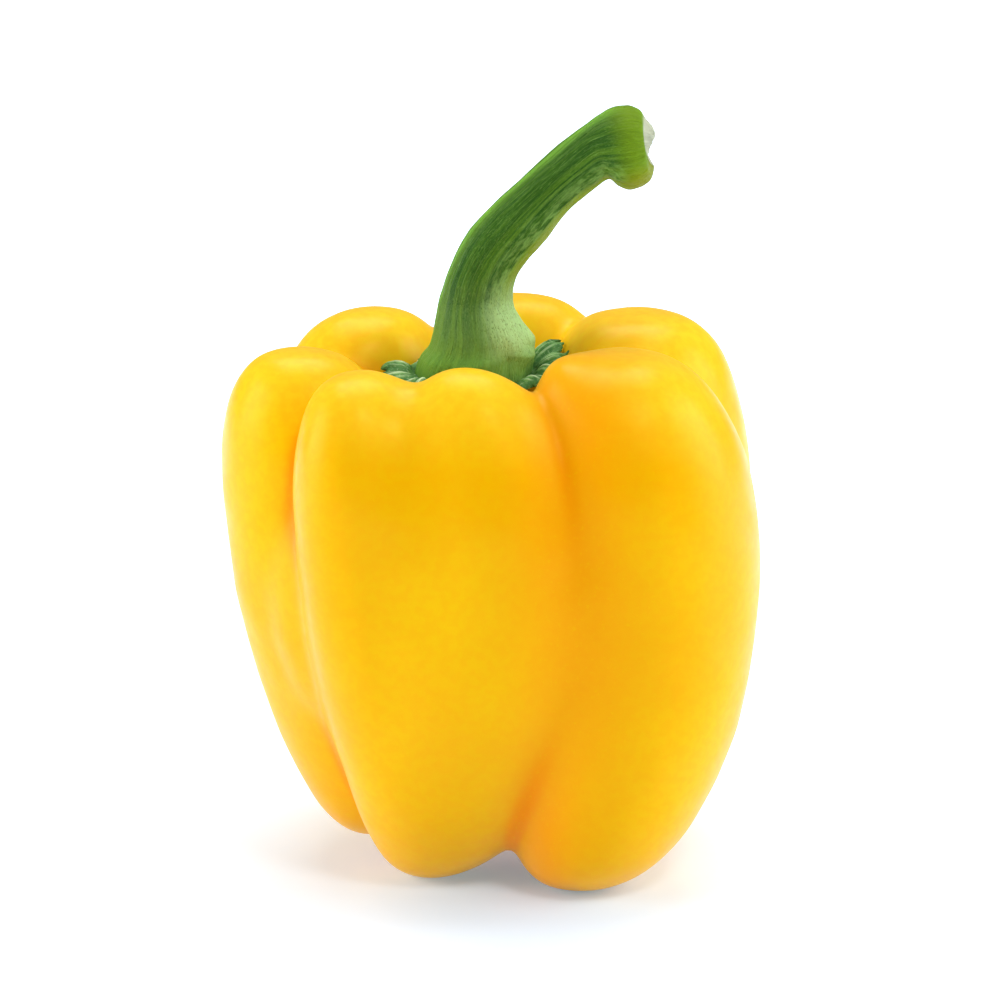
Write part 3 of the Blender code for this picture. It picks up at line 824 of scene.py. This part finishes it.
def stem_material(settings):
    """Green stem with dark stripes, a bright outer edge, a pale downy base and a fibrous white cut."""
    material, tree, shader = new_material("stem green")
    round_place = attribute(tree, "round").outputs["Vector"]
    cut = attribute(tree, "cut").outputs["Fac"]
    split = add_node(tree, "ShaderNodeSeparateXYZ", wires={"Vector": round_place})
    side, _, along = split.outputs
    along = math_node(tree, "DIVIDE", along, ROD_LENGTH)
    stripes = grain(tree, round_place, STEM_STRIPES, 3.0, 0.4)
    fibres = grain(tree, round_place, STEM_FIBRES, 4.0, 0.6)
    mottle = grain(tree, round_place, STEM_MOTTLE, 5.0, 0.5)
    down = grain(tree, round_place, STEM_DOWN, 3.0, 0.5)
    uneven = math_node(tree, "MULTIPLY", math_node(tree, "SUBTRACT", stripes, 0.5), 0.7)
    lane = math_node(tree, "ADD", side, uneven)
    colour = mix_colour(tree, fade(tree, stripes, 0.38, 0.60), settings.dark_colour, settings.middle_colour)
    pale = math_node(tree, "MULTIPLY", fade(tree, lane, -0.1, 0.5), fade(tree, mottle, 0.38, 0.62, 0.0, 0.8))
    colour = mix_colour(tree, pale, colour, settings.mottle_colour)
    band = math_node(tree, "MULTIPLY", fade(tree, lane, -0.95, -0.65), fade(tree, lane, 0.05, -0.30))
    band = math_node(tree, "MULTIPLY", band, fade(tree, along, 0.22, 0.42))
    band = math_node(tree, "MULTIPLY", band, fade(tree, fibres, 0.36, 0.56, 1.0, 0.45))
    colour = mix_colour(tree, band, colour, settings.dark_colour)
    colour = mix_colour(tree, fade(tree, fibres, 0.52, 0.75, 0.0, 0.5), colour, settings.mottle_colour)
    colour = mix_colour(tree, fade(tree, fibres, 0.46, 0.28, 0.0, 0.7), colour, settings.dark_colour)
    colour = mix_colour(tree, fade(tree, down, 0.54, 0.72, 0.0, 0.45), colour, settings.mottle_colour)
    colour = mix_colour(tree, fade(tree, down, 0.45, 0.28, 0.0, 0.6), colour, settings.dark_colour)
    colour = mix_colour(tree, fade(tree, lane, -0.86, -1.12), colour, settings.edge_colour)
    inner = math_node(tree, "MULTIPLY", fade(tree, lane, 0.55, 0.95), fade(tree, along, 0.25, 0.42))
    colour = mix_colour(tree, inner, colour, settings.inner_colour)
    knob = fade(tree, along, 0.80, 0.90, 0.0, 0.85)
    colour = mix_colour(tree, knob, colour, settings.knob_colour)
    beneath = math_node(tree, "MULTIPLY", knob, fade(tree, side, 0.2, 0.8))
    colour = mix_colour(tree, beneath, colour, settings.under_colour)
    colour = mix_colour(tree, fade(tree, along, 0.30, 0.04, 0.0, 0.6), colour, settings.foot_colour)
    base = math_node(tree, "MULTIPLY", fade(tree, along, 0.40, 0.20),
                     fade(tree, side, -0.1, 0.7, 0.10, 1.0))
    base = math_node(tree, "MULTIPLY", base, fade(tree, along, 0.03, 0.18, 0.10, 1.0))
    colour = mix_colour(tree, math_node(tree, "MULTIPLY", base, fade(tree, down, 0.22, 0.50)), colour,
                        settings.base_colour)
    tip = math_node(tree, "MULTIPLY", fade(tree, along, 0.955, 0.995), fade(tree, lane, 0.5, -0.2))
    colour = mix_colour(tree, math_node(tree, "MAXIMUM", tip, fade(tree, cut, 0.1, 0.8)), colour,
                        settings.cut_colour)
    tree.links.new(colour, shader.inputs["Base Color"])
    relief = math_node(tree, "ADD", fibres, math_node(tree, "MULTIPLY", mottle, 0.6))
    relief = math_node(tree, "ADD", relief, math_node(tree, "MULTIPLY", down, 0.4))
    tree.links.new(bump(tree, relief, STEM_RELIEF, 1.0), shader.inputs["Normal"])
    tree.links.new(fade(tree, mottle, 0.3, 0.7, 0.48, 0.66), shader.inputs["Roughness"])
    set_shader(shader, Specular_IOR_Level=0.28, Specular_Tint=(0.60, 0.80, 0.20, 1.0))
    return material


# Settings

def colour_setting(name, description, default):
    """A colour among the settings."""
    return bpy.props.FloatVectorProperty(name=name, description=description, subtype="COLOR", size=3,
                                         min=0, max=1, default=default)


class PepperFruitSettings(bpy.types.PropertyGroup):
    """Sizes and colours of the fruit."""
    skin_colour: colour_setting("Skin", "Main colour of the skin", (0.94, 0.475, 0.0))
    pale_colour: colour_setting("Pale skin", "Colour of its brighter patches", (0.96, 0.54, 0.0))
    # Painted top light: the pale colour on the lobes' tops
    painted_crown_light_colour: colour_setting("Crown", "Colour of the tops of the lobes", (0.98, 0.64, 0.02))
    # Deeper orange: partly riper skin, partly painted shade; also used for the random mottling
    blush_and_shade_colour: colour_setting("BlushAndShade", "Colour where it is riper", (0.96, 0.33, 0.0))
    # Orange in the creases: partly the skin's own colour, partly painted shade and bounce light
    crease_pigment_and_shade_colour: colour_setting("Creases", "Colour between the lobes", (0.98, 0.24, 0.0))
    roughness: bpy.props.FloatProperty(
        name="Roughness", description="Roughness of the waxy skin", subtype="FACTOR", min=0, max=1,
        default=0.34)
    waviness: bpy.props.FloatProperty(
        name="Waviness", description="Depth of the skin's soft dents", unit="LENGTH", min=0, max=0.002,
        precision=5, default=0.0005)
    mesh_size: bpy.props.FloatProperty(
        name="Mesh size", description="Width of the skin mesh's faces", unit="LENGTH", min=0.0003,
        max=0.005, precision=5, default=0.0006)


class PepperCalyxSettings(bpy.types.PropertyGroup):
    """Sizes and colours of the calyx."""
    leaf_colour: colour_setting("Leaf", "Main colour of the sepals", (0.165, 0.365, 0.085))
    # Also the painted shade in the sepals' folds and underneath
    shade_colour: colour_setting("Shade", "Colour of their darker blotches", (0.045, 0.150, 0.032))
    crest_colour: colour_setting("Crests", "Colour of the pleats' pale crests", (0.60, 0.78, 0.42))
    raggedness: bpy.props.FloatProperty(
        name="Raggedness", description="How uneven the sepals' outline is, as a share of their reach",
        subtype="FACTOR", min=0, max=0.3, default=0.07)
    pleat_depth: bpy.props.FloatProperty(
        name="Pleat depth", description="Height of the sepals' pleats", unit="LENGTH", min=0, max=0.001,
        precision=5, default=0.00035)


class PepperStemSettings(bpy.types.PropertyGroup):
    """Sizes and colours of the stem."""
    middle_colour: colour_setting("Middle", "Colour between the stripes", (0.096, 0.220, 0.015))
    mottle_colour: colour_setting("Mottling", "Colour of the pale patches", (0.220, 0.400, 0.085))
    dark_colour: colour_setting("Stripes", "Colour of the dark stripes", (0.020, 0.092, 0.008))
    edge_colour: colour_setting("Outer edge", "Colour along the outside of the bend", (0.22, 0.50, 0.05))
    inner_colour: colour_setting("Inner edge", "Colour along the inside of the bend", (0.24, 0.34, 0.015))
    foot_colour: colour_setting("Foot", "Fresh colour towards the foot", (0.17, 0.39, 0.05))
    base_colour: colour_setting("Down", "Colour of the down inside the bend, near the foot",
                                (0.52, 0.80, 0.33))
    knob_colour: colour_setting("Knob", "Colour of the knob at the cut", (0.185, 0.32, 0.008))
    under_colour: colour_setting("Under the knob", "Colour of the knob's underside", (0.25, 0.27, 0.002))
    cut_colour: colour_setting("Cut", "Colour of the cut face", (0.62, 0.64, 0.46))
    striation: bpy.props.FloatProperty(
        name="Striation", description="Depth of the fine grooves along the stem", unit="LENGTH", min=0,
        max=0.0005, precision=5, default=0.00015)


class PepperStageSettings(bpy.types.PropertyGroup):
    """The camera, the floor and the lights."""
    floor_colour: colour_setting("Floor", "Colour of the floor", (0.74, 0.83, 0.92))
    floor_glow: colour_setting("Floor glow", "Light that the white floor adds", (0.27, 0.30, 0.365))
    # Painted shadow: the dimmer, cooler glow in front of the fruit
    painted_shadow_glow: colour_setting("Shadow glow", "What is left of the glow in the shadow", (0.10, 0.175, 0.265))
    room_light: bpy.props.FloatProperty(
        name="Room light", description="Strength of the even light from all round", min=0, default=0.17)
    elevation: bpy.props.FloatProperty(
        name="Elevation", description="How far above the horizon the camera looks from", unit="ROTATION",
        default=math.radians(15))
    distance: bpy.props.FloatProperty(
        name="Distance", description="From the camera to the middle of the pepper", unit="LENGTH",
        default=0.636)
    lens: bpy.props.FloatProperty(
        name="Lens", description="The camera's focal length in millimetres", default=150.0)


# The stage

CAMERA_AIM = Vector((0.0016, -0.0005, 0.055))
NEAREST_SEEN = 0.01        # the camera sees nothing closer than this
FLOOR_RADIUS = 3.0
FLOOR_SEGMENTS = 128
FLOOR_DROP = 0.0001        # the floor lies this far below the fruit's feet
GLOW_REACH = (0.10, 0.45)  # the floor glows more and more between these distances
GLOW_RISE = 3.2            # up to this many times as much
PAINTED_SHADOW_PLACE = (0.005, -0.024)     # a painted shadow in front of the fruit: the floor glows least here
PAINTED_SHADOW_REACH = (0.010, 0.045)      # and as much as elsewhere past the second of these distances
PAINTED_SHADOW_STRETCH = 1.7               # its distances count for more along X
# Softboxes: where each stands, its width and height in metres, and its power in watts
Softbox = namedtuple("Softbox", "name place width height power")
SOFTBOXES = (
    Softbox("left_softbox", (-1.05, -0.15, 0.42), 0.7, 0.7, 8.1),
    Softbox("right_softbox", (1.05, 0.0, 0.5), 0.7, 0.8, 8.3),
    Softbox("small_softbox", (0.38, -0.62, 1.0), 0.26, 0.26, 3.1),
    Softbox("top_softbox", (0.0, 0.40, 1.25), 1.0, 0.9, 11.8),
)


def floor_material(settings):
    """White floor that glows a little, least in a painted shadow in front of the fruit and most far away."""
    material, tree, shader = new_material("white floor")
    set_shader(shader, Base_Color=(*settings.floor_colour, 1.0), Roughness=0.7, Specular_IOR_Level=0.1)
    place = add_node(tree, "ShaderNodeTexCoord").outputs["Object"]
    distance = add_node(tree, "ShaderNodeVectorMath", operation="LENGTH", wires={"Vector": place})
    glow = fade(tree, distance.outputs["Value"], *GLOW_REACH, 1.0, GLOW_RISE)
    tree.links.new(glow, shader.inputs["Emission Strength"])
    # A painted shadow: the glow dims in front of the fruit
    east, north = PAINTED_SHADOW_PLACE
    beside = add_node(tree, "ShaderNodeMapping", wires={"Vector": place},
                      values={"Location": (-east * PAINTED_SHADOW_STRETCH, -north, 0),
                              "Scale": (PAINTED_SHADOW_STRETCH, 1, 1)})
    from_painted_shadow = add_node(tree, "ShaderNodeVectorMath", operation="LENGTH",
                           wires={"Vector": beside.outputs[0]})
    outside_painted_shadow = fade(tree, from_painted_shadow.outputs["Value"], *PAINTED_SHADOW_REACH)
    tree.links.new(mix_colour(tree, outside_painted_shadow, settings.painted_shadow_glow, settings.floor_glow),
                   shader.inputs["Emission Color"])
    return material


def make_floor(settings):
    """A round white floor under the fruit's feet."""
    bpy.ops.object.select_all(action="DESELECT")
    bpy.ops.mesh.primitive_circle_add(vertices=FLOOR_SEGMENTS, radius=FLOOR_RADIUS, fill_type="NGON",
                                      location=(0, 0, -FLOOR_DROP))
    floor = bpy.context.object
    floor.name = "floor"
    floor.data.materials.append(floor_material(settings))


def light_room(settings):
    """The softboxes, and even light from all round."""
    for box in SOFTBOXES:
        aim = CAMERA_AIM - Vector(box.place)
        bpy.ops.object.light_add(type="AREA", location=box.place,
                                 rotation=aim.to_track_quat("-Z", "Y").to_euler())
        lamp = bpy.context.object
        lamp.name = box.name
        lamp.data.shape = "RECTANGLE"
        lamp.data.size = box.width
        lamp.data.size_y = box.height
        lamp.data.energy = box.power
    world = bpy.data.worlds.new("white room")
    world.use_nodes = True
    world.node_tree.nodes["Background"].inputs["Color"].default_value = (1.0, 1.0, 1.0, 1.0)
    world.node_tree.nodes["Background"].inputs["Strength"].default_value = settings.room_light
    bpy.context.scene.world = world
    bpy.context.scene.view_settings.view_transform = "Standard"


def place_camera(settings):
    """The camera in front of the pepper, looking down at it a little."""
    back = Vector((0, -math.cos(settings.elevation), math.sin(settings.elevation)))
    bpy.ops.object.camera_add(location=CAMERA_AIM + back * settings.distance,
                              rotation=(math.pi / 2 - settings.elevation, 0, 0))
    camera = bpy.context.object
    camera.name = "camera"
    camera.data.lens = settings.lens
    camera.data.clip_start = NEAREST_SEEN
    bpy.context.scene.camera = camera


# Operators and the panel


class PEPPER_OT_fruit(bpy.types.Operator):
    """Make the fruit with its lobes, creases and waxy skin"""
    bl_idname = "pepper.make_fruit"
    bl_label = "Make the fruit"

    def execute(self, context):
        make_fruit(context.scene.pepper_fruit)
        return {"FINISHED"}


class PEPPER_OT_calyx(bpy.types.Operator):
    """Make the calyx with its pleated sepals on the fruit's crown"""
    bl_idname = "pepper.make_calyx"
    bl_label = "Make the calyx"

    def execute(self, context):
        skin = bpy.data.objects["fruit_skin"]
        make_calyx(context.scene.pepper_calyx, skin, np.array(skin["shift"]))
        return {"FINISHED"}


class PEPPER_OT_stem(bpy.types.Operator):
    """Make the bent stem with its ribs and its cut"""
    bl_idname = "pepper.make_stem"
    bl_label = "Make the stem"

    def execute(self, context):
        make_stem(context.scene.pepper_stem, np.array(bpy.data.objects["fruit_skin"]["shift"]))
        return {"FINISHED"}


class PEPPER_OT_stage(bpy.types.Operator):
    """Make the floor, the lights and the camera"""
    bl_idname = "pepper.make_stage"
    bl_label = "Make the studio"

    def execute(self, context):
        settings = context.scene.pepper_stage
        make_floor(settings)
        light_room(settings)
        place_camera(settings)
        return {"FINISHED"}


class PEPPER_PT_panel(bpy.types.Panel):
    """The pepper's operators and settings"""
    bl_idname = "PEPPER_PT_panel"
    bl_label = "Bell Pepper"
    bl_space_type = "VIEW_3D"
    bl_region_type = "UI"
    bl_category = "Bell Pepper"

    def draw(self, context):
        for operator, group in STEPS:
            column = self.layout.column()
            column.operator(operator)
            settings = getattr(context.scene, group)
            for name in settings.__annotations__:
                column.prop(settings, name)


STEPS = (
    ("pepper.make_fruit", "pepper_fruit"),
    ("pepper.make_calyx", "pepper_calyx"),
    ("pepper.make_stem", "pepper_stem"),
    ("pepper.make_stage", "pepper_stage"),
)
SETTINGS = {"pepper_fruit": PepperFruitSettings, "pepper_calyx": PepperCalyxSettings,
            "pepper_stem": PepperStemSettings, "pepper_stage": PepperStageSettings}
CLASSES = (PepperFruitSettings, PepperCalyxSettings, PepperStemSettings, PepperStageSettings,
           PEPPER_OT_fruit, PEPPER_OT_calyx, PEPPER_OT_stem, PEPPER_OT_stage, PEPPER_PT_panel)


def register():
    """Add the classes, and their settings to the scene."""
    for kind in CLASSES:
        bpy.utils.register_class(kind)
    for name, kind in SETTINGS.items():
        setattr(bpy.types.Scene, name, bpy.props.PointerProperty(type=kind))


def unregister():
    """Take the settings and the classes away again."""
    for name in SETTINGS:
        delattr(bpy.types.Scene, name)
    for kind in reversed(CLASSES):
        bpy.utils.unregister_class(kind)


def main():
    """Make the pepper piece by piece, then the studio."""
    register()
    bpy.ops.pepper.make_fruit()
    bpy.ops.pepper.make_calyx()
    bpy.ops.pepper.make_stem()
    bpy.ops.pepper.make_stage()


if __name__ == "__main__":
    main()
